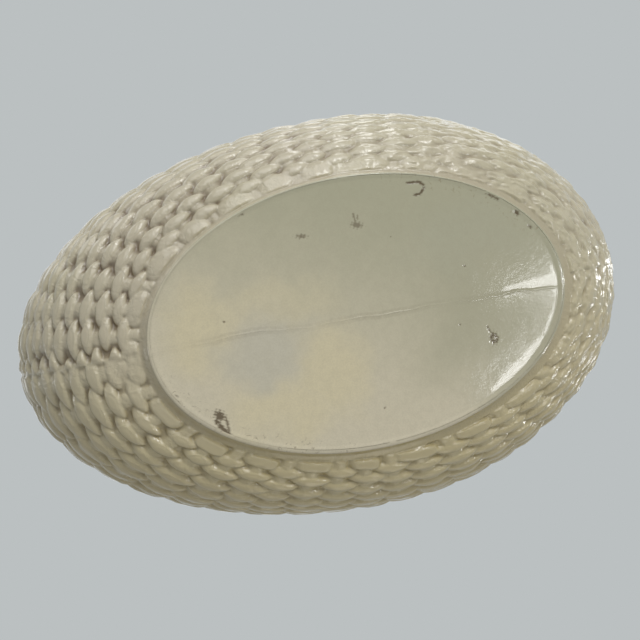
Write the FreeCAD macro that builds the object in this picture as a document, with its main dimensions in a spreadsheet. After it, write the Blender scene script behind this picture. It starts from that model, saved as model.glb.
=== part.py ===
import FreeCAD, Part
import math
import os

import Sketcher
from FreeCAD import Vector

# A goose tureen in glazed earthenware: an egg-shaped basket-weave bowl on an oval foot, and a lid
# that is a hollow sitting goose. The origin is the middle of the foot's resting face, +Z is up and
# +X points the way the goose faces. Everything is in millimetres. Values whose names end in share
# are plain ratios, the rest are lengths.

SIZES = {
    # The bowl's outline. The belly is the widest place, nearer the breast end than the tail end.
    "bowl_length": 340,
    "bowl_width": 219,
    "belly_station": 30,
    "belly_height": 74,
    "rim_height": 98,
    "rim_draw": 4,
    # How full the wall swells between foot and belly: 1 is a straight flare, 2 a quarter ellipse.
    "tail_swell_share": 2,
    "breast_swell_share": 2,
    "side_swell_share": 2,
    # The oval foot.
    "foot_length": 210,
    "foot_width": 131,
    "foot_height": 6,
    "foot_round": 2.5,
    "foot_groove": 1.5,
    # How far the hollows between the woven strands lie under the strands' crests.
    "weave_depth": 2.6,
    # The bowl's clay.
    "wall": 6,
    "floor_thickness": 8,
    "floor_inset": 5,
    # The rim, rolled outwards, with a ledge inside it that carries the lid.
    "roll_height": 11,
    "roll_stand": 2,
    "lip": 4.5,
    "ledge_width": 5,
    "ledge_depth": 7,
    "lip_round": 1.5,
    # The lid's plate and the flange that keeps it in place.
    "lid_gap": 0.6,
    "plate_thickness": 9,
    "plate_round": 3,
    "flange_gap": 1,
    "flange_depth": 8,
    "flange_wall": 5,
    # The goose's body, measured up from the top of the plate.
    "body_inset": 4,
    "body_height": 74,
    "back_station": 6,
    "lid_wall": 6,
    # The neck and the head.
    "neck_station": 92,
    "neck_level": 28,
    "neck_rise": 136,
    "neck_sway": 14,
    "neck_root": 58,
    "neck_girth": 18,
    "neck_width_share": 0.9,
    "head_length": 32,
    "head_width": 18,
    "head_height": 20,
    "head_forward": 9,
    # How far the beak's tip is under the head's middle.
    "beak_drop": 12,
    # The upturned tail.
    "tail_root": 70,
    "tail_length": 96,
    "tail_level": 24,
    "tail_lift": 50,
    "tail_width": 58,
    "tail_thickness": 34,
    # The folded wings.
    "wing_shoulder": 84,
    "wing_reach_share": 0.665,
    "wing_side": 76,
    "wing_level": 34,
    "wing_lift": 40,
    "wing_chord": 42,
    "wing_thickness": 12,
    # How far a cutting shape runs past what it cuts, and a joined one runs into what it joins.
    "overrun": 2,
}

# Each end of the wall's egg outlines, the sizes it comes from and how it swells.
WALL_ENDS = (
    ("tail", "length", "tail_swell_share"),
    ("breast", "length", "breast_swell_share"),
    ("side", "width", "side_swell_share"),
)

# Heights of the hollow's sections between its floor and the belly.
WALL_LEVEL_SHARES = (0, 0.05, 0.19, 0.42, 0.7, 1)

# The weave's upright columns, as shares of the way round the bowl from the breast by the side at +Y.
# The two halves of the mould differ: each has its first column, its spacing and how many it has. One
# narrow column covers the seam at the breast.
SEAM_COLUMN_SHARE = 0.5 / 48
NEAR_COLUMNS_SHARES = (1.2 / 48, 1.12 / 48, 21)
FAR_COLUMNS_SHARES = (24.8 / 48, 1 / 48, 24)

# The weave's rows, how many rows high it is with the strip that runs on under the roll, and where
# the lowest starts: a share of the way up to the belly, with what it gains towards the side at +Y
# and towards the breast.
WEAVE_ROWS = 22
WEAVE_HEIGHT_IN_ROWS = 22.5
WEAVE_START_SHARES = (0.069, 0.019, 0.022)

# The band between the foot and the lowest row lies this much of the weave's depth down.
BAND_DEPTH_SHARE = 0.6

# The height, as a share of the way to the belly, of the outline along which columns are spaced.
SPACING_LEVEL_SHARE = 0.6

# How finely the weave's places along the wall are looked up.
STEPS_ROUND = 360
STEPS_UP = 60
NEAR_SHARE = 0.001

# A strand's ridge: how far it reaches towards the next columns, and how much it tilts.
RIDGE_SHARE = 0.46
RIDGE_TILT_SHARE = 0.22

# Thick glaze softens the weave near the breast: where most, and how much of the depth goes.
SOFTEST_SHARE = 0.94
SOFTENED_SHARE = 0.5

# A rounded edge in flat steps: how far along its height each is, and how far it is drawn in.
ROUND_SHARES = ((0, 1), (0.134, 0.5), (0.5, 0.134), (1, 0))

# The rolled rim's sections: how far up the roll each is, and how far it stands out.
ROLL_SHARES = ((0, 0), (0.14, 0.6), (0.36, 1), (0.66, 1), (0.88, 0.6), (1, 0))

# Each section of the goose's body: how high it is, and how much of its base's reach it keeps at the
# tail, the breast and the sides. A point closes the back above the last one.
BODY_SHARES = (
    (0, 1, 1, 1),
    (0.24, 0.96, 1, 0.985),
    (0.46, 0.87, 0.97, 0.93),
    (0.66, 0.73, 0.89, 0.82),
    (0.82, 0.54, 0.73, 0.64),
    (0.94, 0.31, 0.46, 0.38),
)

# Each neck section: how high it is, how far it sways forwards, and how thick it is between the
# slender part (0) and the root (1).
NECK_SHARES = (
    (0, 0, 1),
    (0.2, 0.34, 0.76),
    (0.36, 0.55, 0.46),
    (0.52, 0.36, 0.2),
    (0.68, 0, 0.05),
    (0.84, 0.06, 0),
    (1, 0.8, -0.08),
)

# Each section of the head and beak: how far forwards of the head's middle it is, how far down, how
# deep and how wide.
HEAD_SHARES = (
    (-0.98, 0, 0.16, 0.16),
    (-0.88, 0, 0.48, 0.46),
    (-0.64, 0, 0.77, 0.75),
    (-0.3, 0, 0.95, 0.95),
    (0.08, 0, 1, 1),
    (0.42, 0.04, 0.9, 0.9),
    (0.66, 0.14, 0.7, 0.68),
    (0.82, 0.24, 0.49, 0.5),
    (0.98, 0.36, 0.41, 0.43),
    (1.26, 0.62, 0.32, 0.34),
    (1.5, 0.86, 0.25, 0.27),
    (1.62, 0.97, 0.18, 0.19),
    (1.656, 1, 0.1, 0.1),
)

# Each tail section: how far back it is, how far up, how wide and how thick.
TAIL_SHARES = (
    (0, 0, 1, 1),
    (0.36, 0.14, 0.86, 0.72),
    (0.66, 0.42, 0.7, 0.44),
    (0.86, 0.74, 0.56, 0.24),
    (1, 1, 0.34, 0.1),
)

# Each wing section: how far back from the shoulder it is, how far out to the side, how far up, how
# long across the wing, how thick, and its lean in degrees from upright towards the back.
WING_SHARES = (
    (0, 0.86, 0, 0.26, 0.5, 20),
    (0.1, 1, 0.02, 0.66, 0.9, 24),
    (0.3, 1, 0.08, 1, 1, 34),
    (0.54, 0.84, 0.22, 0.92, 1, 44),
    (0.78, 0.5, 0.56, 0.62, 0.9, 54),
    (1, 0.16, 1, 0.2, 0.4, 60),
)

# Heights over the belly's and the plate's named sizes, written once for every sketch that uses them.
LEDGE_LEVEL = "(Sizes.rim_height - Sizes.ledge_depth)"
PLATE_TOP = f"({LEDGE_LEVEL} + Sizes.plate_thickness)"


def fill_sheet(doc):
    """The spreadsheet of driving dimensions, one named cell for each."""
    sheet = doc.addObject("Spreadsheet::Sheet", "Sizes")
    for row, (name, value) in enumerate(SIZES.items(), start=1):
        sheet.set(f"A{row}", name)
        sheet.set(f"B{row}", str(value))
        sheet.setAlias(f"B{row}", name)
    doc.recompute()
    return sheet


def value(body, expression):
    """The number that an expression over the sheet comes to now."""
    return float(body.evalExpression(expression))


def origin_plane(body, role):
    return next(plane for plane in body.Origin.OriginFeatures if plane.Role == role)


def between(low, high, share):
    return f"({low} + ({high} - {low}) * {share})"


def swell(share, curve):
    """How much of its flare the wall has made at a share of its height."""
    return f"pow(1 - pow({round(1 - share, 4)}; Sizes.{curve}); 1 / Sizes.{curve})"


def egg(level, station, tail, breast, side):
    """An egg outline: two half ellipses that meet at the station, in expressions over the sheet."""
    return {"level": level, "station": station, "tail": tail, "breast": breast, "side": side}


def inset(outline, amount):
    """The same egg, drawn in all round."""
    smaller = {end: f"({outline[end]} - {amount})" for end in ("tail", "breast", "side")}
    return {**outline, **smaller}


def at_level(outline, level):
    return {**outline, "level": level}


def wall_egg(share, start_level, foot_inset, belly_inset):
    """The bowl's outline at a share of the height from its start to the belly."""
    reach = {}
    for end, size, curve in WALL_ENDS:
        foot = f"(Sizes.foot_{size} / 2 - {foot_inset})"
        belly = f"(Sizes.bowl_{size} / 2 - {belly_inset})"
        reach[end] = between(foot, belly, swell(share, curve))
    level = between(start_level, "Sizes.belly_height", share)
    return egg(level, f"(Sizes.belly_station * {share})", **reach)


def rim_egg(amount):
    """The bowl's outline at the rim, drawn in by an amount."""
    belly = wall_egg(1, "Sizes.foot_height", "0", "0")
    return at_level(inset(belly, f"(Sizes.rim_draw + {amount})"), "Sizes.rim_height")


def sketch_on(body, name, role, offset):
    sketch = body.newObject("Sketcher::SketchObject", name)
    sketch.AttachmentSupport = [(origin_plane(body, role), "")]
    sketch.MapMode = "FlatFace"
    sketch.setExpression("AttachmentOffset.Base.z", offset)
    return sketch


def bind(sketch, name, expression, kind, *items):
    """A dimension of a sketch, tied to an expression over the sheet."""
    number = sketch.addConstraint(Sketcher.Constraint(kind, *items, value(sketch, expression)))
    sketch.renameConstraint(number, name)
    sketch.setExpression(f"Constraints.{name}", expression)


def egg_sketch(body, name, outline):
    """Two half ellipses, breast and tail, that share their short axis."""
    sketch = sketch_on(body, name, "XY_Plane", outline["level"])
    station = outline["station"]
    breast = f"({outline['breast']} - {station})"
    tail = f"({outline['tail']} + {station})"
    centre = Vector(value(body, station), 0, 0)
    side = Vector(0, value(body, outline["side"]), 0)
    halves = []
    for reach, start in ((breast, -math.pi / 2), (tail, math.pi / 2)):
        end = centre + Vector(value(body, reach), 0, 0)
        ellipse = Part.Ellipse(end, centre + side, centre)
        half = sketch.addGeometry(Part.ArcOfEllipse(ellipse, start, start + math.pi), False)
        sketch.exposeInternalGeometry(half)
        halves.append(half)
    front, back = halves
    long_axis, short_axis = front + 1, front + 2
    sketch.addConstraint(Sketcher.Constraint("PointOnObject", front, 3, -1))
    sketch.addConstraint(Sketcher.Constraint("Horizontal", long_axis))
    bind(sketch, "station", station, "DistanceX", -1, 1, front, 3)
    bind(sketch, "breast", f"2 * {breast}", "Distance", long_axis)
    bind(sketch, "width", f"2 * {outline['side']}", "Distance", short_axis)
    bind(sketch, "tail", f"2 * {tail}", "Distance", back + 1)
    sketch.addConstraint(Sketcher.Constraint("Coincident", back + 2, 1, short_axis, 1))
    sketch.addConstraint(Sketcher.Constraint("Coincident", back + 2, 2, short_axis, 2))
    sketch.addConstraint(Sketcher.Constraint("Coincident", front, 2, short_axis, 1))
    sketch.addConstraint(Sketcher.Constraint("Coincident", front, 1, short_axis, 2))
    sketch.addConstraint(Sketcher.Constraint("Coincident", back, 1, short_axis, 1))
    sketch.addConstraint(Sketcher.Constraint("Coincident", back, 2, short_axis, 2))
    return sketch


def oval_sketch(body, name, role, offset, across, up, long_half, short_half, lean):
    """Two halves of an ellipse whose long axis leans by so many degrees from the sketch's first axis."""
    sketch = sketch_on(body, name, role, offset)
    centre = Vector(value(body, across), value(body, up), 0)
    turn = math.radians(lean)
    long_end = Vector(math.cos(turn), math.sin(turn), 0) * value(body, long_half)
    short_end = Vector(-math.sin(turn), math.cos(turn), 0) * value(body, short_half)
    ellipse = Part.Ellipse(centre + long_end, centre + short_end, centre)
    halves = []
    for start in (0, math.pi):
        half = sketch.addGeometry(Part.ArcOfEllipse(ellipse, start, start + math.pi), False)
        sketch.exposeInternalGeometry(half)
        halves.append(half)
    over, under = halves
    long_axis = over + 1
    bind(sketch, "across", across, "DistanceX", -1, 1, over, 3)
    bind(sketch, "up", up, "DistanceY", -1, 1, over, 3)
    bind(sketch, "long_axis", f"2 * {long_half}", "Distance", long_axis)
    bind(sketch, "short_axis", f"2 * {short_half}", "Distance", over + 2)
    bind(sketch, "under_axis", f"2 * {short_half}", "Distance", under + 2)
    line = sketch.Geometry[long_axis]
    along = line.EndPoint - line.StartPoint
    sketch.addConstraint(Sketcher.Constraint("Angle", long_axis, math.atan2(along.y, along.x)))
    sketch.addConstraint(Sketcher.Constraint("Coincident", under + 1, 1, long_axis, 1))
    sketch.addConstraint(Sketcher.Constraint("Coincident", under + 1, 2, long_axis, 2))
    for half in halves:
        for end in (1, 2):
            sketch.addConstraint(Sketcher.Constraint("PointOnObject", half, end, long_axis))
    return sketch


def point_sketch(body, name, level, station):
    """One point on the long axis, which closes a loft."""
    sketch = sketch_on(body, name, "XY_Plane", level)
    sketch.addGeometry(Part.Point(Vector(value(body, station), 0, 0)), False)
    bind(sketch, "station", station, "DistanceX", -1, 1, 0, 1)
    sketch.addConstraint(Sketcher.Constraint("PointOnObject", 0, 1, -1))
    return sketch


def loft(body, kind, name, sketches, ruled=False):
    """A skin over the sections: smooth, or with straight walls from each to the next."""
    feature = body.newObject(f"PartDesign::{kind}Loft", name)
    feature.Profile = sketches[0]
    feature.Sections = sketches[1:]
    feature.Ruled = ruled
    feature.Refine = False
    return feature


def egg_loft(body, kind, name, outlines):
    """Straight walls from each egg outline to the next."""
    sketches = [
        egg_sketch(body, f"{name}_section_{number}", outline)
        for number, outline in enumerate(outlines, start=1)
    ]
    return loft(body, kind, name, sketches, ruled=True)


def extrude(body, kind, name, sketch, length, backwards=False):
    feature = body.newObject(f"PartDesign::{kind}", name)
    feature.Profile = sketch
    feature.setExpression("Length", length)
    feature.Reversed = backwards
    return feature


def wall_point(sizes, stage, around, inset_by=0):
    """A point of the smooth wall. The stage is 0 at the foot, 1 at the belly and 2 at the rim."""
    share = 1 - math.cos(min(stage, 1) * math.pi / 2)
    above = max(stage - 1, 0)
    reach = {}
    for end, size, curve in WALL_ENDS:
        foot = sizes[f"foot_{size}"] / 2
        belly = sizes[f"bowl_{size}"] / 2
        swollen = (1 - (1 - share) ** sizes[curve]) ** (1 / sizes[curve])
        reach[end] = foot + (belly - foot) * swollen - sizes["rim_draw"] * above - inset_by
    station = sizes["belly_station"] * share
    along = reach["breast"] - station if math.cos(around) > 0 else reach["tail"] + station
    below_belly = (sizes["belly_height"] - sizes["foot_height"]) * share
    over_belly = (sizes["rim_height"] - sizes["belly_height"]) * above
    level = sizes["foot_height"] + below_belly + over_belly
    return Vector(station + along * math.cos(around), reach["side"] * math.sin(around), level)


def sunken_point(sizes, stage, around, depth):
    """A point under the smooth wall, by so much along the way out of it."""
    along = wall_point(sizes, stage, around + NEAR_SHARE) - wall_point(sizes, stage, around - NEAR_SHARE)
    low = wall_point(sizes, max(stage - NEAR_SHARE, 0), around)
    high = wall_point(sizes, min(stage + NEAR_SHARE, 2), around)
    up = high - low
    way_out = along.cross(up).normalize()
    return wall_point(sizes, stage, around) - way_out * depth


def look_up(wanted, places, results):
    """The result at a place between two known ones, along a straight line."""
    number = 1
    while number < len(places) - 1 and places[number] < wanted:
        number += 1
    share = (wanted - places[number - 1]) / (places[number] - places[number - 1])
    return results[number - 1] + (results[number] - results[number - 1]) * share


def path_lengths(points):
    """How far along a path each of its points is."""
    lengths = [0]
    for start, end in zip(points, points[1:]):
        lengths.append(lengths[-1] + (end - start).Length)
    return lengths


class Weave:
    """Finds the points of the basket weave over the bowl's wall, from the sizes in the sheet."""

    def __init__(self, sizes):
        self.sizes = sizes
        self.depth = sizes["weave_depth"]
        self.columns = [SEAM_COLUMN_SHARE]
        for first, step, count in (NEAR_COLUMNS_SHARES, FAR_COLUMNS_SHARES):
            self.columns += [first + step * number for number in range(count)]
        self.angles = [2 * math.pi * number / STEPS_ROUND for number in range(STEPS_ROUND + 1)]
        spacing_stage = math.acos(1 - SPACING_LEVEL_SHARE) / (math.pi / 2)
        outline = [wall_point(sizes, spacing_stage, angle) for angle in self.angles]
        lengths = path_lengths(outline)
        self.shares = [length / lengths[-1] for length in lengths]
        roll_foot = sizes["rim_height"] - sizes["roll_height"]
        rise = (roll_foot - sizes["belly_height"]) / (sizes["rim_height"] - sizes["belly_height"])
        self.stages = [(1 + rise) * number / STEPS_UP for number in range(STEPS_UP + 1)]

    def around(self, share):
        turns = math.floor(share)
        return look_up(share - turns, self.shares, self.angles) + turns * 2 * math.pi

    def stage(self, around, share, climb):
        """How far up the wall a share of the way up the weave is, by length along the wall."""
        lengths = path_lengths([wall_point(self.sizes, stage, around) for stage in self.stages])
        middle, sideways, lengthways = WEAVE_START_SHARES
        turn = 2 * math.pi * share
        first = middle + sideways * math.sin(turn) + lengthways * math.cos(turn)
        start = look_up(first, self.stages, lengths)
        return look_up(start + (lengths[-1] - start) * climb, lengths, self.stages)

    def point(self, share, row, sunk):
        """A point at a share of the way round, so many rows up, and sunk by a share of the depth."""
        around = self.around(share)
        softened = SOFTENED_SHARE * max(math.cos(2 * math.pi * (share - SOFTEST_SHARE)), 0) ** 2
        stage = self.stage(around, share, row / WEAVE_HEIGHT_IN_ROWS)
        return sunken_point(self.sizes, stage, around, self.depth * sunk * (1 - softened))

    def level_ring(self, stage, inset_by, level):
        """One point under each column, all at one level, where the weave ends inside the foot or the roll."""
        ring = []
        for share in self.columns:
            point = wall_point(self.sizes, stage, self.around(share), inset_by)
            ring.append(Vector(point.x, point.y, level))
        return ring

    def ridge(self, column, row):
        """The two ends of a strand's ridge."""
        share = self.columns[column]
        count = len(self.columns)
        before = (share - self.columns[column - 1]) % 1
        after = (self.columns[(column + 1) % count] - share) % 1
        tilt = RIDGE_TILT_SHARE * RIDGE_SHARE * (1 if share > 0.5 else -1)
        left = self.point(share - before * RIDGE_SHARE, row + 0.5 - tilt, 0)
        right = self.point(share + after * RIDGE_SHARE, row + 0.5 + tilt, 0)
        return left, right


def weave_triangles(sizes):
    """The weave as strands like hipped roofs, each passing over one column and under the next."""
    weave = Weave(sizes)
    count = len(weave.columns)
    foot_level = sizes["foot_height"] - sizes["overrun"]
    foot_ring = weave.level_ring(0, sizes["foot_groove"], foot_level)
    roll_level = sizes["rim_height"] - sizes["roll_height"] + sizes["overrun"]
    roll_ring = weave.level_ring(2, sizes["weave_depth"], roll_level)
    first_ring = [weave.point(share, 0, BAND_DEPTH_SHARE) for share in weave.columns]
    hollows = {(column, -1): point for column, point in enumerate(first_ring)}
    hollows.update({(column, WEAVE_ROWS): point for column, point in enumerate(roll_ring)})
    for row in range(WEAVE_ROWS):
        for column in range(row % 2, count, 2):
            hollows[column, row] = weave.point(weave.columns[column], row + 0.5, 1)
    triangles = []
    for row in range(WEAVE_ROWS):
        for column in range(1 - row % 2, count, 2):
            left_end, right_end = weave.ridge(column, row)
            left, right = hollows[(column - 1) % count, row], hollows[(column + 1) % count, row]
            above, below = hollows[column, row + 1], hollows[column, row - 1]
            triangles += [(left_end, right_end, above), (right_end, left_end, below)]
            triangles += [(left, left_end, above), (left, below, left_end)]
            triangles += [(right_end, right, above), (below, right, right_end)]
    for column in range(0, count, 2):
        before, after = (column - 1) % count, (column + 1) % count
        hollow = hollows[column, 0]
        triangles.append((first_ring[before], first_ring[column], hollow))
        triangles.append((first_ring[column], first_ring[after], hollow))
    last_row = WEAVE_ROWS - 1
    for column in range(last_row % 2, count, 2):
        before, after = (column - 1) % count, (column + 1) % count
        hollow = hollows[column, last_row]
        triangles.append((hollow, roll_ring[column], roll_ring[before]))
        triangles.append((hollow, roll_ring[after], roll_ring[column]))
    for column in range(count):
        after = (column + 1) % count
        triangles.append((foot_ring[column], foot_ring[after], first_ring[after]))
        triangles.append((foot_ring[column], first_ring[after], first_ring[column]))
    return triangles, foot_ring, roll_ring


def make_woven_wall(doc):
    """The bowl's outside between foot and roll, as one closed solid of flat faces."""
    sizes = {name: float(doc.Sizes.get(name)) for name in SIZES}
    triangles, foot_ring, roll_ring = weave_triangles(sizes)
    outlines = triangles + [foot_ring[::-1], roll_ring]
    faces = [Part.Face(Part.makePolygon([*outline, outline[0]])) for outline in outlines]
    shell = Part.makeShell(faces)
    shell.sewShape()
    wall = doc.addObject("Part::Feature", "woven_wall")
    wall.Label = "woven_wall"
    wall.Shape = Part.makeSolid(shell)
    wall.Placement = FreeCAD.Placement()
    return wall


def make_basket_bowl(doc):
    """The bowl: woven wall, foot, rolled rim, hollow and the ledge for the lid."""
    woven_wall = make_woven_wall(doc)
    body = doc.addObject("PartDesign::Body", "basket_bowl")
    body.Label = "basket_bowl"
    body.BaseFeature = woven_wall
    foot_outline = wall_egg(0, "Sizes.foot_height", "0", "0")
    foot = [
        at_level(inset(foot_outline, f"Sizes.foot_round * {drawn}"), f"(Sizes.foot_round * {rise})")
        for rise, drawn in ROUND_SHARES
    ]
    foot.append(foot_outline)
    egg_loft(body, "Additive", "foot", foot)

    roll_foot = "(Sizes.rim_height - Sizes.roll_height)"
    roll = [
        at_level(rim_egg(f"-Sizes.roll_stand * {stand}"), between(roll_foot, "Sizes.rim_height", rise))
        for rise, stand in ROLL_SHARES
    ]
    egg_loft(body, "Additive", "rim_roll", roll)

    ledge_inner = rim_egg("(Sizes.lip + Sizes.ledge_width)")
    hollow = [
        wall_egg(share, "Sizes.floor_thickness", "Sizes.floor_inset", "Sizes.wall")
        for share in WALL_LEVEL_SHARES
    ]
    hollow.append(at_level(ledge_inner, f"({LEDGE_LEVEL} + Sizes.overrun)"))
    egg_loft(body, "Subtractive", "hollow", hollow)

    ledge = [at_level(rim_egg("Sizes.lip"), LEDGE_LEVEL)]
    for rise, drawn in ROUND_SHARES[::-1]:
        outline = rim_egg(f"(Sizes.lip - Sizes.lip_round * {drawn})")
        ledge.append(at_level(outline, f"(Sizes.rim_height - Sizes.lip_round * {rise})"))
    egg_loft(body, "Subtractive", "ledge", ledge)
    return body


def body_egg(shares, amount):
    """A section of the goose's body, drawn in by an amount."""
    height_share, tail_share, breast_share, side_share = shares
    base = rim_egg("(Sizes.lip + Sizes.lid_gap + Sizes.body_inset)")
    station = between("Sizes.belly_station", "Sizes.back_station", height_share)
    height = f"(Sizes.body_height + Sizes.overrun - {amount})"
    level = f"({PLATE_TOP} - Sizes.overrun + {height} * {height_share})"
    tail = f"({base['tail']} * {tail_share} - {amount})"
    breast = f"({base['breast']} * {breast_share} - {amount})"
    side = f"({base['side']} * {side_share} - {amount})"
    return egg(level, station, tail, breast, side)


def body_loft(body, kind, name, amount, ruled):
    """The goose's back, from inside the plate up to a point."""
    sketches = [
        egg_sketch(body, f"{name}_section_{number}", body_egg(shares, amount))
        for number, shares in enumerate(BODY_SHARES, start=1)
    ]
    peak = f"({PLATE_TOP} + Sizes.body_height - {amount})"
    sketches.append(point_sketch(body, f"{name}_peak", peak, "Sizes.back_station"))
    return loft(body, kind, name, sketches, ruled)


def neck_loft(body, kind, name, amount, rows, ruled):
    sketches = []
    for number, (rise, sway, girth) in enumerate(rows, start=1):
        level = f"({PLATE_TOP} + Sizes.neck_level + Sizes.neck_rise * {rise})"
        station = f"(Sizes.neck_station + Sizes.neck_sway * {sway})"
        radius = f"({between('Sizes.neck_girth', 'Sizes.neck_root', girth)} - {amount})"
        width = f"({radius} * Sizes.neck_width_share)"
        section = f"{name}_section_{number}"
        sketches.append(oval_sketch(body, section, "XY_Plane", level, station, "0", radius, width, 0))
    return loft(body, kind, name, sketches, ruled)


def make_goose_lid(doc):
    """The lid: plate and flange, then the goose, then the hollow inside it."""
    body = doc.addObject("PartDesign::Body", "goose_lid")
    body.Label = "goose_lid"
    plate = [at_level(rim_egg("(Sizes.lip + Sizes.lid_gap)"), LEDGE_LEVEL)]
    for rise, drawn in ROUND_SHARES[::-1]:
        outline = rim_egg(f"(Sizes.lip + Sizes.lid_gap + Sizes.plate_round * {drawn})")
        plate.append(at_level(outline, f"({PLATE_TOP} - Sizes.plate_round * {rise})"))
    egg_loft(body, "Additive", "plate", plate)

    flange_outline = rim_egg("(Sizes.lip + Sizes.ledge_width + Sizes.flange_gap)")
    flange_outline = at_level(flange_outline, LEDGE_LEVEL)
    flange_sketch = egg_sketch(body, "flange_outline", flange_outline)
    extrude(body, "Pad", "flange", flange_sketch, "Sizes.flange_depth", backwards=True)

    body_loft(body, "Additive", "goose_body", "0", ruled=False)
    add_tail(body)
    add_wings(body)
    neck_loft(body, "Additive", "neck", "0", NECK_SHARES, ruled=False)
    add_head(body)

    mouth_level = f"({LEDGE_LEVEL} - Sizes.flange_depth)"
    mouth_outline = at_level(inset(flange_outline, "Sizes.flange_wall"), mouth_level)
    mouth_sketch = egg_sketch(body, "mouth_outline", mouth_outline)
    mouth_depth = "(Sizes.flange_depth + Sizes.plate_thickness - Sizes.overrun / 2)"
    extrude(body, "Pocket", "mouth", mouth_sketch, mouth_depth, backwards=True)
    body_loft(body, "Subtractive", "body_hollow", "Sizes.lid_wall", ruled=True)
    neck_loft(body, "Subtractive", "neck_hollow", "Sizes.lid_wall", NECK_SHARES[:-1], ruled=True)
    return body


def add_tail(body):
    sketches = []
    for number, (back, up, wide, thick) in enumerate(TAIL_SHARES, start=1):
        station = f"(-Sizes.tail_root - Sizes.tail_length * {back})"
        level = f"({PLATE_TOP} + Sizes.tail_level + Sizes.tail_lift * {up})"
        half_width = f"(Sizes.tail_width * {wide})"
        half_thick = f"(Sizes.tail_thickness * {thick})"
        section = f"tail_section_{number}"
        oval = (station, "0", level, half_width, half_thick, 0)
        sketches.append(oval_sketch(body, section, "YZ_Plane", *oval))
    return loft(body, "Additive", "tail", sketches)


def add_wings(body):
    """The left wing by loft and the right one by mirror."""
    sketches = []
    for number, (back, out, up, wide, thick, lean) in enumerate(WING_SHARES, start=1):
        station = f"(Sizes.wing_shoulder - Sizes.bowl_length * Sizes.wing_reach_share * {back})"
        side = f"(Sizes.wing_side * {out})"
        level = f"({PLATE_TOP} + Sizes.wing_level + Sizes.wing_lift * {up})"
        chord = f"(Sizes.wing_chord * {wide})"
        half_thick = f"(Sizes.wing_thickness * {thick})"
        section = f"wing_section_{number}"
        oval = (station, side, level, chord, half_thick, 90 + lean)
        sketches.append(oval_sketch(body, section, "YZ_Plane", *oval))
    wing = loft(body, "Additive", "wing", sketches)
    body.Document.recompute()
    mirror = body.newObject("PartDesign::Mirrored", "wing_mirror")
    mirror.Originals = [wing]
    mirror.MirrorPlane = (origin_plane(body, "XZ_Plane"), [""])
    body.Tip = mirror
    return mirror


def add_head(body):
    """The head and the beak, from the nape to the beak's tip."""
    sketches = []
    middle = "Sizes.neck_station + Sizes.neck_sway + Sizes.head_forward"
    for number, (forward, down, deep, wide) in enumerate(HEAD_SHARES, start=1):
        station = f"({middle} + Sizes.head_length * {forward})"
        level = f"({PLATE_TOP} + Sizes.neck_level + Sizes.neck_rise - Sizes.beak_drop * {down})"
        half_deep = f"(Sizes.head_height * {deep})"
        half_wide = f"(Sizes.head_width * {wide})"
        section = f"head_section_{number}"
        oval = (station, "0", level, half_deep, half_wide, 90)
        sketches.append(oval_sketch(body, section, "YZ_Plane", *oval))
    return loft(body, "Additive", "head", sketches, ruled=True)


def check(doc, parts):
    """Stops if any object failed or any piece isn't one sound solid."""
    for item in doc.Objects:
        if "Invalid" in item.State or "Error" in item.State:
            raise RuntimeError(f"{item.Label} failed: {item.State}")
    for part in parts:
        shape = part.Shape
        if shape.isNull() or not shape.isValid() or len(shape.Solids) != 1:
            raise RuntimeError(f"{part.Label} isn't one sound solid")


def main():
    doc = FreeCAD.newDocument("goose_tureen")
    fill_sheet(doc)
    parts = [make_basket_bowl(doc), make_goose_lid(doc)]
    doc.recompute()
    check(doc, parts)
    os.makedirs("parts", exist_ok=True)
    for part in parts:
        part.Shape.exportStep(os.path.join("parts", f"{part.Label}.step"))
        print(part.Label, round(part.Shape.Volume), part.Shape.optimalBoundingBox())


main()
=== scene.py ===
import math

import bpy
import numpy as np
from mathutils import Matrix, Vector


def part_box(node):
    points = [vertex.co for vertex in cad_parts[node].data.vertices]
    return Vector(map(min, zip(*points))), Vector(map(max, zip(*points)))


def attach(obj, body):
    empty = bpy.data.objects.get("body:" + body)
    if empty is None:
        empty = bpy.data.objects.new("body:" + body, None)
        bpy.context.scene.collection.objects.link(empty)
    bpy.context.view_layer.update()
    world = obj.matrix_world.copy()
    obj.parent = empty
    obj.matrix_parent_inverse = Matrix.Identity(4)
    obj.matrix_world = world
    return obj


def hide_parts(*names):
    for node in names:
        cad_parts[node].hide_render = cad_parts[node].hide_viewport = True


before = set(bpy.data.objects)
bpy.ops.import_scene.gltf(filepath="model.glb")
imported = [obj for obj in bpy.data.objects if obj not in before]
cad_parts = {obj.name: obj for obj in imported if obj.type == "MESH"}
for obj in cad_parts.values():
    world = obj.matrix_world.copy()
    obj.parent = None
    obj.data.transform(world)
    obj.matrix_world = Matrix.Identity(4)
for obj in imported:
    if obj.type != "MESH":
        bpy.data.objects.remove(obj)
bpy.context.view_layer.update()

# The goose tureen's looks: a bowl moulded as basket weave under a thick cream glaze, and a lid that
# is a sitting goose. Metres, with the middle of the foot's resting face at the origin, +Z up and +X
# the way the goose faces.
MM = 0.001
BOWL_LOW, BOWL_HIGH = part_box("basket_bowl")

# The bowl's outline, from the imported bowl's box and the sizes of its foot and belly.
HALF_LENGTH = min(BOWL_HIGH.x, -BOWL_LOW.x)
HALF_WIDTH = min(BOWL_HIGH.y, -BOWL_LOW.y)
RIM_HEIGHT = BOWL_HIGH.z
FOOT_HALF_SIZES = (105 * MM, 65.5 * MM)
FOOT_HEIGHT = 6 * MM
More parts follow.
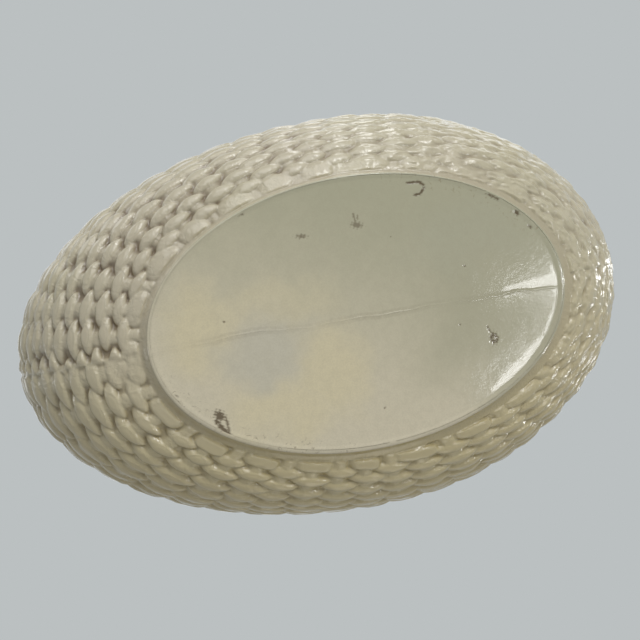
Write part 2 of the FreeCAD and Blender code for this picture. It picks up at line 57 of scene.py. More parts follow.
# The round of the foot's edge, and how much wider it is at +Y and narrower at -Y.
FOOT_ROUND = 1.4 * MM
FOOT_ROUND_LEAN = 0.5
FOOT_FACE_INSET = 0.3 * MM
FOOT_DISH = 0.25 * MM
CORNER_FILL = 3.2 * MM
CORNER_REACH = 3.5 * MM
BELLY_STATION = 30 * MM
BELLY_HEIGHT = 74 * MM
RIM_DRAW = 4 * MM
ROLL_HEIGHT = 11 * MM
ROLL_STAND = 1.2 * MM
ROLL_TWISTS = 72
ROLL_CORD_DEPTH = 1.6 * MM
LIP = 4.5 * MM
LIP_ROUND = 1.5 * MM
LEDGE_WIDTH = 5 * MM
LEDGE_DEPTH = 7 * MM
WALL = 6 * MM
FLOOR_LEVEL = 8 * MM
FLOOR_INSET = 5 * MM

# The weave. Columns are counted round the bowl and rows up its wall. The two halves of the mould
# were carved by hand, so each has its own column width, and they meet at the tail and the breast.
# The half at +Y is the near one. Places round the bowl are shares of its outline, from the breast by
# the side at +Y. On the far half the rows close up towards the tail.
GRID_COLUMNS = 840
COLUMNS = 48
TAIL_SEAM_SHARE = 24 / COLUMNS
BREAST_SEAM_SHARE = 0.3 / COLUMNS
NEAR_COLUMN_SHARE = 1.12 / COLUMNS
NEAR_START_SHARE = 12.4 / COLUMNS
FAR_COLUMN_SHARE = 1.0 / COLUMNS
FAR_START_SHARE = 29.8 / COLUMNS
ROWS = 22.5
CLOSER_ROWS = 0.2
# The angle on the wall, in degrees, at which the rows start: its middle, and how it changes sideways
# and lengthways.
WEAVE_ANGLES = (6.25, 1.75, 2.0)
WEAVE_LEVEL = -0.5 * MM
CREST = 1.0 * MM
# One strand, in columns and rows, and how much the strands differ: shift across, shift up, tilt,
# length and rise.
STRAND_SPREAD = (0.07, 0.08, 0.08, 0.08, 0.06)
STRAND_TILT = 0.22
STRAND_BEND = 0.3
STRAND_HALF_LENGTH = 0.7
STRAND_HALF_HEIGHT = 0.82
STRAND_BASE = -2.2 * MM
STRAND_RISE = 3.3 * MM
STRAND_ENDS = 1.55
STRAND_DOME = 0.55
TIP_RISE = 0.14
# The first row by the foot: square bricks on the near half, broad leaves on the far half.
NEAR_FIRST_ENDS = 4.0
NEAR_FIRST_SIDES = 3.0
FAR_FIRST_ENDS = 2.2
FAR_FIRST_LENGTH = 1.25
FAR_FIRST_HALF_HEIGHT = 1.25
FAR_FIRST_RISE = 0.85
STAKE_HALF_WIDTH = 0.25
STAKE_BASE = -1.7 * MM
STAKE_RISE = 1.2 * MM
STAKE_FOOT_RISE = 0.6 * MM
FAR_STAKE_SHARE = 0.9
FAR_STAKE_LOSS = 0.5
RECESS = -2.6 * MM
BAND_LEVEL = -1.0 * MM
# The glaze's lumps: how many to a column and how high. They are highest at LUMPY_SHARE.
LUMPS = ((1.1, 0.09 * MM), (2.3, 0.13 * MM), (4.6, 0.16 * MM))
LUMPS_TO_A_ROW = 0.62
LUMPY_SHARE = 0.95
LUMPIER = 2.1
GLAZE_SOFTNESS = 0.10 * MM
DROWNED_SHARE = 0.94
DROWNED_STRENGTH = 0.3
SEAM_STRENGTH = 0.35
TAIL_PATCH_SHARE = 0.011


def egg_points(angles, station, tail, breast, side):
    """Points of an egg outline: two half ellipses that meet at the station."""
    reach = np.where(np.cos(angles) > 0, breast - station, tail + station)
    return station + reach * np.cos(angles), side * np.sin(angles)


def belly_egg(amount):
    """The belly's egg, drawn in by an amount, as the last four values of a ring."""
    return BELLY_STATION, HALF_LENGTH - amount, HALF_LENGTH - amount, HALF_WIDTH - amount


def ring(angles, level, station, tail, breast, side):
    """Points of an egg outline at a level, or at one level for each angle."""
    x, y = egg_points(angles, station, tail, breast, side)
    return np.stack([x, y, np.full_like(x, level)], axis=-1)


def wall_ring(angles, turn, foot, belly, bottom, top):
    """A ring of a wall that swells as a quarter ellipse: turn 0 at the foot, 90 degrees at the belly."""
    swell = math.sin(turn)
    rise = 1 - math.cos(turn)
    tail = foot[0] + (belly[1] - foot[0]) * swell
    side = foot[1] + (belly[3] - foot[1]) * swell
    level = bottom + (top - bottom) * rise
    return ring(angles, level, belly[0] * rise, tail, tail, side)


def outline_share(angles):
    """How far round the bowl each column is, by length along the wall's middle: 0 at the breast."""
    middle = wall_ring(angles, math.acos(0.4), FOOT_HALF_SIZES, belly_egg(0), FOOT_HEIGHT, BELLY_HEIGHT)
    closed = np.concatenate([middle, middle[:1]])
    steps = np.linalg.norm(np.diff(closed, axis=0), axis=1)
    return np.concatenate([[0], np.cumsum(steps)[:-1]]) / steps.sum()


def normals_of(grid):
    """Outward normals of a grid of points that closes round its second axis."""
    round_step = np.roll(grid, -1, axis=1) - np.roll(grid, 1, axis=1)
    up_step = np.gradient(grid, axis=0)
    normal = np.cross(round_step, up_step)
    return normal / np.linalg.norm(normal, axis=-1, keepdims=True)


def smooth_highest(heights, softness):
    """The highest of several surfaces, with their creases softened as thick glaze does."""
    heights = np.stack(heights)
    top = heights.max(axis=0)
    return top + softness * np.log(np.exp((heights - top) / softness).sum(axis=0))


def smooth_step(value, low, high):
    """0 below the low value, 1 above the high one, and a smooth ramp between them."""
    t = np.clip((value - low) / (high - low), 0, 1)
    return t * t * (3 - 2 * t)


def lumpy(across, up):
    """Random smooth lumps of about -1 to 1, one to each unit of the two measures."""
    table = np.random.default_rng(11).uniform(-1, 1, size=(256, 128))
    i, j = np.floor(across).astype(int), np.floor(up).astype(int)
    s, t = across - i, up - j
    s, t = s * s * (3 - 2 * s), t * t * (3 - 2 * t)
    low = table[i % 256, j % 128] * (1 - s) + table[(i + 1) % 256, j % 128] * s
    high = table[i % 256, (j + 1) % 128] * (1 - s) + table[(i + 1) % 256, (j + 1) % 128] * s
    return low * (1 - t) + high * t


def share_from(share, place):
    """How far shares are past a place round the bowl, from -0.5 to 0.5."""
    return (share - place + 0.5) % 1 - 0.5


def weave_relief(share, climb):
    """Height of the weave over the wall, from shares of the way round and up."""
    far = share > TAIL_SEAM_SHARE
    near_column = (share - NEAR_START_SHARE) / NEAR_COLUMN_SHARE
    c = np.where(far, (share - FAR_START_SHARE) / FAR_COLUMN_SHARE, near_column)
    from_tail = (share - TAIL_SEAM_SHARE) * COLUMNS
    w = ROWS * climb * (1 + CLOSER_ROWS * far * (1 - smooth_step(from_tail, 1.5, 6.0)))
    randoms = np.random.default_rng(7).normal(size=(5, 64, 128))
    lean = np.where(far, 1.0, -1.0)
    tilt = STRAND_TILT * lean
    row = np.floor(w).astype(int)
    surfaces = []
    for step in (-1, 0, 1):
        r = row + step
        crest = 2 * np.round((c - r) / 2) + r
        pick = (r % 64, crest.astype(int) % 128)
        spreads = [spread * table[pick] for spread, table in zip(STRAND_SPREAD, randoms)]
        across, up, turn, longer, higher = spreads
        x = c - crest + across
        d = w - r - 0.5 + up
        d = d - (tilt + turn) * x + STRAND_BEND * x**2
        length = STRAND_HALF_LENGTH * (1 + longer)
        first = r == 0
        far_first = first & far
        near_first = first & ~far
        length = np.where(far_first, length * FAR_FIRST_LENGTH, length)
        half_height = np.where(far_first, FAR_FIRST_HALF_HEIGHT, STRAND_HALF_HEIGHT)
        ends = np.where(first, np.where(far, FAR_FIRST_ENDS, NEAR_FIRST_ENDS), STRAND_ENDS)
        sides = np.where(near_first, NEAR_FIRST_SIDES, 2.0)
        fill = np.abs(x / length) ** ends + np.abs(d / half_height) ** sides
        dome = np.clip(1 - fill, 0, 1) ** STRAND_DOME - 2 * np.clip(fill - 1, 0, 1)
        rise = STRAND_RISE * (1 + higher + TIP_RISE * np.clip(lean * x / length, -1, 1))
        rise = np.where(far_first, rise * FAR_FIRST_RISE, rise)
        surfaces.append(np.where(r < 0, RECESS, STRAND_BASE + rise * dome))
    across = (c - np.round(c)) / STAKE_HALF_WIDTH
    share_left = np.where(far, FAR_STAKE_SHARE - FAR_STAKE_LOSS * smooth_step(from_tail, 2.0, 5.0), 1)
    stake_rise = (STAKE_RISE + STAKE_FOOT_RISE * (1 - smooth_step(w, 1.0, 4.0))) * share_left
    rounded = np.sqrt(np.clip(1 - across**2, 0, 1))
    surfaces.append(STAKE_BASE + stake_rise * rounded - MM * np.clip(np.abs(across) - 1, 0, 1))
    surfaces.append(np.full_like(w, RECESS))
    return smooth_highest(surfaces, GLAZE_SOFTNESS)


def glaze_lumps(share, climb):
    """The glaze's own lumps, which are all that is left of the weave at the breast."""
    lumps = 0
    for number, high in LUMPS:
        lumps = lumps + high * lumpy(share * COLUMNS * number, ROWS * climb * number * LUMPS_TO_A_ROW)
    from_breast = np.abs(share_from(share, LUMPY_SHARE))
    return lumps * (1 + LUMPIER * (1 - smooth_step(from_breast, 0.06, 0.22)))


def relief_strength(share, climb):
    """Thick glaze drowns the weave towards the breast, along the mould's seams and in a patch at the tail."""
    past_breast = share_from(share, DROWNED_SHARE)
    strength = DROWNED_STRENGTH + (1 - DROWNED_STRENGTH) * np.where(
        past_breast < 0, smooth_step(-past_breast, 0.06, 0.36), smooth_step(past_breast, 0.06, 0.25))
    for seam, width in ((TAIL_SEAM_SHARE, 0.003), (BREAST_SEAM_SHARE, 0.01)):
        away = np.abs(share_from(share, seam))
        strength = strength * (SEAM_STRENGTH + (1 - SEAM_STRENGTH) * smooth_step(away, width * 0.3, width))
    patch = np.hypot((share - TAIL_SEAM_SHARE + TAIL_PATCH_SHARE) / 0.017, (climb - 0.05) / 0.09)
    return strength * (DROWNED_STRENGTH + (1 - DROWNED_STRENGTH) * smooth_step(patch, 0.6, 1.1))


# Marks on the foot that the glaze pulled back from: x, y, half length, half width and turn in degrees
# (millimetres), how deep they are and how brown. Where brown is below 0, the mark is a pale chip.
FOOT_MARKS = [(38.0, -54.6, 1.0, 0.7, 70, 0.14, 0.95), (1.1, -41.5, 2.8, 1.5, 15, 0.08, 0.6),
              (2.2, -45.0, 0.5, 1.6, 0, 0.05, 0.55), (-26.4, -40.4, 2.6, 1.0, 10, 0.09, 0.65),
              (-78.9, 33.8, 2.9, 2.1, 60, 0.2, 1.0), (-77.5, 37.3, 1.5, 1.1, 40, -0.1, -0.6),
              (-73.1, 45.7, 0.8, 0.5, 30, 0.09, 0.85), (-70.8, 47.4, 0.6, 0.4, 10, 0.09, 0.75),
              (-69.0, 49.0, 0.9, 0.4, 20, 0.09, 0.85), (-65.5, 50.1, 0.7, 0.5, 0, 0.11, 0.95),
              (-75.4, 44.5, 0.6, 0.4, 40, 0.09, 0.75), (-94.0, 27.0, 0.8, 0.5, 60, 0.09, 0.75),
              (-69.3, -7.8, 0.6, 0.5, 0, 0.09, 0.85), (51.9, -13.2, 0.6, 0.5, 0, 0.09, 0.85),
              (44.0, 14.6, 0.5, 0.4, 0, 0.09, 0.75), (-1.5, 46.6, 0.6, 0.5, 0, 0.09, 0.75),
              (-52.4, -54.6, 1.2, 0.5, -20, 0.09, 0.75), (16.9, -33.4, 0.5, 0.4, 0, 0.09, 0.75),
              (72.4, -45.2, 2.6, 0.9, 30, 0.09, 0.8), (75.2, -43.4, 1.4, 0.8, 30, 0.09, 0.8),
              (84.6, -34.8, 1.7, 1.1, 50, 0.11, 0.9), (90.6, -26.8, 1.3, 0.8, 50, 0.09, 0.75),
              (60.5, 24.8, 2.2, 3.0, 0, 0.05, 0.62), (-96.0, 21.0, 0.8, 0.4, 60, 0.09, 0.65)]
# Cracks and scuffs drawn as lines: their points, half width, depth and how brown.
FOOT_STROKES = [([(30.0, -57.6), (33.0, -57.6), (36.4, -57.2), (38.1, -55.6), (37.6, -53.4), (35.4, -51.6),
                  (32.8, -51.4)], 0.55, 0.1, 1.0),
                ([(-80.9, 35.6), (-79.7, 38.2), (-78.1, 40.5), (-76.3, 43.0)], 0.9, 0.15, 1.0),
                ([(-76.8, 34.7), (-76.2, 37.6), (-76.2, 41.3)], 0.5, 0.1, 0.9),
                ([(58.3, 18.4), (58.9, 20.6), (60.0, 22.4)], 0.4, 0.08, 0.8),
                ([(0.2, -47.2), (0.6, -44.6), (0.4, -42.0)], 0.4, 0.05, 0.6)]
# A ring: x, y, radius, half width, depth and how brown.
FOOT_RING = (60.5, 24.6, 1.8, 0.6, 0.12, 0.35)
# The mould's seam, which stands up along the foot: points of its line, and how it wanders, as the
# reach and the length of its waves.
FOOT_SEAM = [(-99.7, 0.1), (-62.0, -0.9), (-31.0, 1.6), (-0.2, 2.2), (42.0, 3.1), (78.0, 4.2), (105.2, 5.6)]
SEAM_WAVES = ((0.35 * MM, 7 * MM), (0.2 * MM, 2.6 * MM))
SEAM_STAND = 0.16 * MM
SEAM_HALF_WIDTH = 0.8 * MM


def foot_marks(x, y):
    """How deep the marks on the foot's face are, and how brown."""
    ragged = 1 + 0.22 * np.sin(x / MM * 3.1 + y / MM * 1.7) + 0.18 * np.sin(y / MM * 4.3 - x / MM * 2.2)
    pit = np.zeros_like(x)
    stain = np.zeros_like(x)
    for mark_x, mark_y, long, wide, turn, depth, brown in FOOT_MARKS:
        along = math.radians(turn)
        dx, dy = x / MM - mark_x, y / MM - mark_y
        u = (dx * math.cos(along) + dy * math.sin(along)) / long
        v = (dy * math.cos(along) - dx * math.sin(along)) / wide
        inside = 1 - smooth_step(np.hypot(u, v) * ragged, 0.55, 1.25)
        pit += depth * MM * inside
        stain = stain * (1 - inside) + brown * inside
    for line, wide, depth, brown in FOOT_STROKES:
        nearest = np.full_like(x, 1e3)
        for (ax, ay), (bx, by) in zip(line, line[1:]):
            reach = (bx - ax) ** 2 + (by - ay) ** 2
            t = np.clip(((x / MM - ax) * (bx - ax) + (y / MM - ay) * (by - ay)) / reach, 0, 1)
            nearest = np.minimum(nearest, np.hypot(x / MM - ax - t * (bx - ax), y / MM - ay - t * (by - ay)))
        inside = 1 - smooth_step(nearest / wide * ragged, 0.5, 1.5)
        pit += depth * MM * inside
        stain = np.maximum(stain, brown * inside)
    ring_x, ring_y, radius, width, depth, brown = FOOT_RING
    away = np.abs(np.hypot(x / MM - ring_x, y / MM - ring_y) - radius) / width
    inside = 1 - smooth_step(away * ragged, 0.5, 1.4)
    pit += depth * MM * inside
    stain += brown * inside
    seam_x, seam_y = np.array(FOOT_SEAM).T * MM
    wander = sum(reach * np.sin(x / length) for reach, length in SEAM_WAVES)
    away = np.abs(y - np.interp(x, seam_x, seam_y) - wander) / SEAM_HALF_WIDTH
    shown = 0.65 + 0.35 * np.sin(x / (11 * MM) + 1)
    line = np.clip(1 - away, 0, 1) ** 2 * shown
    pit -= SEAM_STAND * line
    stain += 0.12 * np.clip(1.6 - np.abs(away - 1.2), 0, 1) * shown
    return pit, stain


def foot_rings(angles):
    """Rings of the foot's face, with its marks, and of its rounded edge. Also how brown the face is."""
    foot_round = FOOT_ROUND * (1 + FOOT_ROUND_LEAN * np.sin(angles))
    inner_reach = foot_round + FOOT_FACE_INSET
    rings = []
    stains = []
    for t in np.linspace(0.01, 1, 190):
        long, wide = [t * (size - inner_reach) for size in FOOT_HALF_SIZES]
        level = FOOT_DISH * (1 - smooth_step(t, 0.97, 1))
        face = ring(angles, level, 0, long, long, wide)
        pit, stain = foot_marks(face[:, 0], face[:, 1])
        face[:, 2] += pit
        rings.append(face)
        stains.append(stain)
    for turn in np.radians(np.linspace(0, 90, 9)):
        inset = foot_round * (1 - math.sin(turn))
        long, wide = [size - inset for size in FOOT_HALF_SIZES]
        rings.append(ring(angles, foot_round * (1 - math.cos(turn)), 0, long, long, wide))
    return np.array(rings), np.array(stains)


def weave_rings(angles, share):
    """Rings of the woven wall from the foot to the rim roll, and the height of its relief."""
    belly = belly_egg(CREST)
    turns = np.radians(np.linspace(0, 90, 230))
    rings = [wall_ring(angles, turn, FOOT_HALF_SIZES, belly, FOOT_HEIGHT, BELLY_HEIGHT) for turn in turns]
    roll_foot = RIM_HEIGHT - ROLL_HEIGHT
    above = (roll_foot - BELLY_HEIGHT) / (RIM_HEIGHT - BELLY_HEIGHT)
    for t in np.linspace(0, above, 34)[1:]:
        level = BELLY_HEIGHT + (RIM_HEIGHT - BELLY_HEIGHT) * t
        rings.append(ring(angles, level, *belly_egg(CREST + RIM_DRAW * t)))
    wall = np.array(rings)

    # How far up the weave each point is: 0 where its rows start, 1 at the rim roll.
    steps = np.linalg.norm(np.diff(wall, axis=0), axis=-1)
    length = np.concatenate([np.zeros((1, len(angles))), np.cumsum(steps, axis=0)])
    middle, sideways, lengthways = WEAVE_ANGLES
    around = 2 * math.pi * share
    first = np.radians(middle + sideways * np.sin(around) + lengthways * np.cos(around))
    numbers = np.arange(len(turns))
    places = np.interp(first, turns, numbers)
    skipped = np.array([np.interp(n, numbers, length[:len(turns), i]) for i, n in enumerate(places)])
    climb = (length - skipped) / (length[-1] - skipped)

    share_grid = np.broadcast_to(share, climb.shape)
    relief = weave_relief(share_grid, climb) - WEAVE_LEVEL
    relief = WEAVE_LEVEL + relief * relief_strength(share_grid, climb) + glaze_lumps(share_grid, climb)
    fade = smooth_step(climb, -0.016, -0.002) * (1 - smooth_step(climb, 0.985, 1.0))
    height = relief * fade + BAND_LEVEL * (1 - fade)
    height = height * smooth_step(np.arange(len(height)), 0, 6)[:, None]
    height = np.minimum(height, CREST * 0.98)
    wall = wall + normals_of(wall) * height[..., None]
    wall[..., 2] -= CORNER_FILL * np.exp(-length / CORNER_REACH)
    return wall, height


def roll_rings(angles, share):
    """Rings of the corded roll under the rim, and the height of its cords."""
    station, tail, breast, side = belly_egg(RIM_DRAW)
    rings = []
    cords = []
    for turn in np.radians(np.linspace(-90, 60, 22)):
        stand = ROLL_STAND * math.cos(turn)
        level = RIM_HEIGHT - ROLL_HEIGHT / 2 + (ROLL_HEIGHT / 2 - 0.3 * MM) * math.sin(turn)
        twist = np.abs(np.sin(math.pi * (ROLL_TWISTS * share + 0.9 * math.sin(turn))))
        cords.append((np.sqrt(np.clip(twist, 0.02, 1)) - 0.95) * ROLL_CORD_DEPTH * math.cos(turn))
        rings.append(ring(angles, level, station, tail + stand, breast + stand, side + stand))
    roll = np.array(rings)
    cords = np.array(cords)
    return roll + normals_of(roll) * cords[..., None], cords


def inside_rings(angles):
    """Rings of the lip, of the ledge that the lid sits on, and down the hollow to its floor's middle."""
    rings = [ring(angles, RIM_HEIGHT, *belly_egg(amount))
             for amount in (RIM_DRAW + 0.5 * MM, RIM_DRAW + LIP - LIP_ROUND)]
    for turn in np.radians(np.linspace(15, 90, 6)):
        amount = RIM_DRAW + LIP - LIP_ROUND * (1 - math.sin(turn))
        rings.append(ring(angles, RIM_HEIGHT - LIP_ROUND * (1 - math.cos(turn)), *belly_egg(amount)))
    for amount in (RIM_DRAW + LIP, RIM_DRAW + LIP + LEDGE_WIDTH):
        rings.append(ring(angles, RIM_HEIGHT - LEDGE_DEPTH, *belly_egg(amount)))
    floor = [size - FLOOR_INSET for size in FOOT_HALF_SIZES]
    for turn in np.radians(np.linspace(90, 4, 40)):
        rings.append(wall_ring(angles, turn, floor, belly_egg(WALL), FLOOR_LEVEL, BELLY_HEIGHT))
    for t in np.linspace(1, 0.03, 24):
        long, wide = [size * t for size in floor]
        rings.append(ring(angles, FLOOR_LEVEL, 0, long, long, wide))
    return np.array(rings)


def bowl_grid(columns):
    """Every ring of the bowl from the foot's middle up the outside and down the inside.

    Also the height of its relief, which is 0 where it is plain, and how brown each point is.
    """
    angles = np.arange(columns) * 2 * math.pi / columns
    share = outline_share(angles)
    foot, foot_stain = foot_rings(angles)
    wall, weave = weave_rings(angles, share)
    roll, cords = roll_rings(angles, share)
    inside = inside_rings(angles)
    height = np.concatenate([np.zeros(foot.shape[:2]), weave, cords, np.zeros(inside.shape[:2])])
    stain = np.zeros(height.shape)
    stain[:len(foot_stain)] = foot_stain
    return np.concatenate([foot, wall, roll, inside]), height, stain


def mesh_from_grid(name, grid, values):
    """A closed mesh from rings of points, with a fan over each end, and named values for its points."""
    count, columns = grid.shape[:2]
    points = np.concatenate([grid.reshape(-1, 3), [grid[0].mean(axis=0)], [grid[-1].mean(axis=0)]])
    index = np.arange(count * columns).reshape(count, columns)
    low, high = index[:-1], index[1:]
    quads = np.stack([low, np.roll(low, -1, axis=1), np.roll(high, -1, axis=1), high], axis=-1).reshape(-1, 4)
    first, last = index[0], index[-1]
    bottom = np.stack([np.full(columns, count * columns), np.roll(first, -1), first], axis=-1)
    top = np.stack([np.full(columns, count * columns + 1), last, np.roll(last, -1)], axis=-1)
    mesh = bpy.data.meshes.new(name)
    mesh.from_pydata(points.tolist(), [], quads.tolist() + bottom.tolist() + top.tolist())
    mesh.shade_smooth()
    for key, numbers in values.items():
        attribute = mesh.attributes.new(key, "FLOAT", "POINT")
        numbers = np.concatenate([numbers.reshape(-1), [0, 0]]).astype(np.float32)
        attribute.data.foreach_set("value", numbers)
    piece = bpy.data.objects.new(name, mesh)
    bpy.context.scene.collection.objects.link(piece)
    return piece


def colour(red, green, blue):
    """A screen colour of 0 to 255 as the linear colour that a shader takes."""
    def linear(part):
        part = part / 255
        return part / 12.92 if part <= 0.04045 else ((part + 0.055) / 1.055) ** 2.4
    return (linear(red), linear(green), linear(blue), 1)


class Nodes:
    """Adds nodes to a material or a world and links them."""

    def __init__(self, owner):
        owner.use_nodes = True
        self.tree = owner.node_tree

    def add(self, kind, settings=None, **inputs):
        """A node with its settings, and its inputs by name, or by number as i0, i1 and so on."""
        node = self.tree.nodes.new(kind)
        for key, setting in (settings or {}).items():
            setattr(node, key, setting)
        for key, source in inputs.items():
            socket = node.inputs[int(key[1:])] if key[0] == "i" and key[1:].isdigit() else node.inputs[key]
            self.set(socket, source)
        return node

    def set(self, socket, source):
        if isinstance(source, bpy.types.NodeSocket):
            self.tree.links.new(source, socket)
        else:
            socket.default_value = source

    def surface(self, sources):
        """Sets inputs of the material's shader by name, and returns its output."""
        shader = self.tree.nodes["Principled BSDF"]
        for key, source in sources.items():
            self.set(shader.inputs[key], source)
        return shader.outputs[0]

    def math(self, operation, first, second=0.0):
        return self.add("ShaderNodeMath", {"operation": operation}, i0=first, i1=second).outputs[0]

    def plus(self, first, second):
        return self.math("ADD", first, second)

    def times(self, first, second):
        return self.math("MULTIPLY", first, second)

    def mix(self, share, first, second):
        return self.add("ShaderNodeMix", {"data_type": "RGBA"}, i0=share, i6=first, i7=second).outputs[2]

    def tint(self, body, share, strength, shade):
        """A body colour with a share of a screen colour over it."""
        return self.mix(self.times(share, strength), body, colour(*shade))

    def noise(self, scale, detail=4.0, distortion=0.0):
        inputs = {"Vector": self.place, "Scale": scale, "Detail": detail, "Distortion": distortion}
        return self.add("ShaderNodeTexNoise", **inputs).outputs["Fac"]

    def ramp(self, value, low, high):
        """0 at the low value and 1 at the high one, with a smooth ramp between them."""
        inputs = {"Value": value, "From Min": low, "From Max": high}
        return self.add("ShaderNodeMapRange", {"interpolation_type": "SMOOTHSTEP"}, **inputs).outputs[0]

    def attribute(self, name):
        return self.add("ShaderNodeAttribute", {"attribute_name": name}).outputs["Fac"]


def glaze_material(name, footed=False):
    """Thick cream glaze: paler on the crests, browner and darker in the recesses, partly where it pools and
    partly as painted shade, with ripples and specks.
    """
    material = bpy.data.materials.new(name)
    nodes = Nodes(material)
    nodes.place = nodes.add("ShaderNodeTexCoord").outputs["Object"]
    sunken = nodes.attribute("sunken")
    cloud = nodes.ramp(nodes.noise(14, 3), 0.35, 0.68)
    body = nodes.mix(cloud, colour(208, 199, 174), colour(203, 195, 166))
    # Painted shade: the recesses are darkened and browned, partly for glaze pooled there and partly for the
    # shade that falls in them.
    body = nodes.tint(body, nodes.ramp(sunken, 0.35, 0.95), 0.9, (130, 113, 88))
    speck = nodes.ramp(nodes.noise(900, 2), 0.74, 0.80)
    body = nodes.tint(body, speck, 0.5, (120, 104, 78))
    parts = nodes.add("ShaderNodeSeparateXYZ", Vector=nodes.place).outputs
    if footed:
        warmer = nodes.mix(0.8, body, colour(204, 190, 144))
        body = nodes.mix(nodes.ramp(parts["Y"], -0.03, 0.08), body, warmer)
        body = foot_colours(nodes, parts, body)
    uneven = {"Value": nodes.noise(60, 3), "To Min": 0.08, "To Max": 0.16}
    roughness = nodes.add("ShaderNodeMapRange", **uneven).outputs[0]

    # The glaze ripples everywhere. It is crinkled where it has sunk, and most of all at the tail.
    ripple = nodes.plus(nodes.noise(160, 3), nodes.times(nodes.noise(800, 2), 0.25))
    wrinkles = nodes.plus(nodes.ramp(parts["X"], -0.02, -0.11), 2.0)
    crinkled = nodes.times(nodes.noise(300, 3, 0.8), nodes.ramp(sunken, 0.02, 0.2))
    ripple = nodes.plus(nodes.times(ripple, 0.38), nodes.times(crinkled, wrinkles))
    bump = nodes.add("ShaderNodeBump", Strength=0.6, Distance=0.0004, Height=ripple)
    nodes.surface({"Base Color": body, "Roughness": roughness, "Coat Weight": 0.5, "Coat Roughness": 0.03,
                   "Normal": bump.outputs["Normal"]})
    return material


# Patches of the foot's glaze: middle, half length and half width in millimetres. The pale and the
# green ones also have a strength and a screen colour.
YELLOW_PATCHES = ((-80, -4, 19, 27), (-24, 24, 20, 25), (-50, 36, 34, 20))
WEAK_YELLOW_PATCH = (-48, -12, 38, 14)
FOOT_PATCHES = (((-50, 10, 25, 20), 0.9, (212, 207, 186)),
                ((58, -26, 40, 22), 0.3, (186, 186, 163)),
                ((70, 18, 55, 45), 0.7, (184, 181, 153)))
# The flat part of the foot's face, whose edge is dirty on two quarters.
FOOT_FLAT_SIZES = (101 * MM, 61.5 * MM)


def foot_colours(nodes, parts, body):
    """The foot's own colours: yellow glaze with a grey cloud near the tail, greener towards the breast."""
    drift = nodes.times(nodes.math("SUBTRACT", nodes.noise(30, 3), 0.5), 44 * MM)
    sideways = nodes.times(nodes.math("SUBTRACT", nodes.noise(43, 3), 0.5), 36 * MM)
    x = nodes.plus(parts["X"], drift)
    y = nodes.plus(parts["Y"], sideways)
    slant = nodes.math("SUBTRACT", nodes.times(x, 0.45), y)
    face = nodes.mix(nodes.ramp(slant, -0.065, 0.07), colour(226, 217, 190), colour(186, 184, 156))

    def spot(centre_x, centre_y, long, wide):
        u = nodes.math("DIVIDE", nodes.math("SUBTRACT", x, centre_x * MM), long * MM)
        v = nodes.math("DIVIDE", nodes.math("SUBTRACT", y, centre_y * MM), wide * MM)
        away = nodes.math("SQRT", nodes.plus(nodes.times(u, u), nodes.times(v, v)))
        return nodes.math("SUBTRACT", 1.0, nodes.ramp(away, 0.3, 1.25))

    yellow = nodes.times(spot(*WEAK_YELLOW_PATCH), 0.55)
    for patch in YELLOW_PATCHES:
        yellow = nodes.math("MAXIMUM", yellow, spot(*patch))
    face = nodes.tint(face, yellow, 0.62, (233, 221, 180))
    for patch, strength, shade in FOOT_PATCHES:
        face = nodes.tint(face, spot(*patch), strength, shade)

    round_x, round_y = [nodes.math("DIVIDE", parts[axis], size) for axis, size in zip("XY", FOOT_FLAT_SIZES)]
    squares = nodes.plus(nodes.times(round_x, round_x), nodes.times(round_y, round_y))
    quarters = nodes.ramp(nodes.times(round_x, nodes.times(round_y, -1.0)), 0.05, 0.35)
    dirt = nodes.times(nodes.ramp(squares, 0.84, 0.99), quarters)
    dirt = nodes.times(nodes.ramp(nodes.noise(520, 5, 0.8), 0.58, 0.72), dirt)
    face = nodes.tint(face, dirt, 0.6, (140, 122, 92))
    grain = nodes.ramp(nodes.noise(1400, 2), 0.35, 0.65)
    face = nodes.tint(face, grain, 0.12, (170, 162, 136))
    mottle = nodes.ramp(nodes.noise(240, 5), 0.42, 0.62)
    face = nodes.tint(face, mottle, 0.07, (168, 160, 134))

    stain = nodes.attribute("stain")
    browned = nodes.times(nodes.math("MAXIMUM", stain, 0.0), nodes.ramp(nodes.noise(500, 3), 0.2, 0.5))
    face = nodes.mix(nodes.math("MINIMUM", browned, 0.9), face, colour(94, 76, 46))
    chipped = nodes.math("MAXIMUM", nodes.times(stain, -1.5), 0.0)
    face = nodes.mix(nodes.math("MINIMUM", chipped, 1.0), face, colour(226, 216, 196))
    under = nodes.ramp(parts["Z"], 3.2 * MM, 1.2 * MM)
    return nodes.mix(under, body, face)


def make_bowl():
    """The bowl with its weave, its marks and its glaze."""
    grid, height, stain = bowl_grid(GRID_COLUMNS)
    sunken = np.clip((CREST - height) / (CREST - RECESS), 0, 1) * (height != 0)
    bowl = mesh_from_grid("woven_bowl", grid, {"sunken": sunken, "stain": stain})
    bowl.data.materials.append(glaze_material("bowl_glaze", True))
    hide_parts("basket_bowl")
    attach(bowl, "bowl")


# The goose. The plate's top, the line that each wing lies along, and where neck, tail, eye and beak are.
PLATE_TOP = 100 * MM
SHOULDER = Vector((84, 66, 136)) * MM
WING_TIP = Vector((-142, 12, 174)) * MM
NECK_FOOT = 150 * MM
TAIL_START = -112 * MM
EYE = Vector((124, 15, 268)) * MM
EYE_RADIUS = 3.0 * MM
BEAK_START = 138 * MM
BEAK_LINE = ((136, 261.5), (168, 251.5))
REMESH_SIZE = 1.1 * MM
